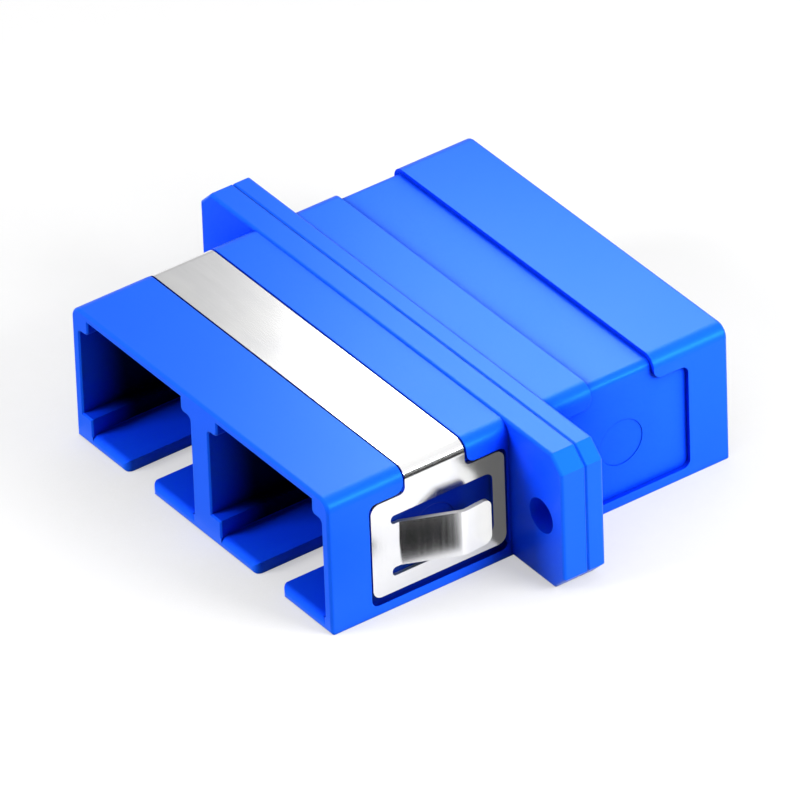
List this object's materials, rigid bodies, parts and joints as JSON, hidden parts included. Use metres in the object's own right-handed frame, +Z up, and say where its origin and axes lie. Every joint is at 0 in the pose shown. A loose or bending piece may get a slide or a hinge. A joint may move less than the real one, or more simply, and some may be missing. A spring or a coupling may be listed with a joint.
{
  "type": "fibre optic adapter",
  "caption": "Flanged panel adapter that joins push-pull fibre plugs end to end, with side-by-side ports, alignment sleeves, latch inserts and a spring-steel panel clip.",
  "frame": {"origin": "bottom centre of the body, in the plane where the ferrules meet", "axes": "+X across the two ports, +Y from the front mouths to the rear mouths, +Z up"},
  "size_m": [0.035, 0.0278, 0.0092],
  "materials": {
    "housing": "moulded PBT, fine satin",
    "spring_clip": "bright rolled stainless spring steel",
    "latch_insert": "moulded, satin",
    "sleeve": "ground zirconia"
  },
  "bodies": {
    "root": {"front_housing": "housing", "rear_housing": "housing", "panel_clip": "spring_clip", "latch_insert_front_left": "latch_insert", "latch_insert_rear_left": "latch_insert", "alignment_sleeve_left": "sleeve", "latch_insert_front_right": "latch_insert", "latch_insert_rear_right": "latch_insert", "alignment_sleeve_right": "sleeve"}
  },
  "joints": []
}
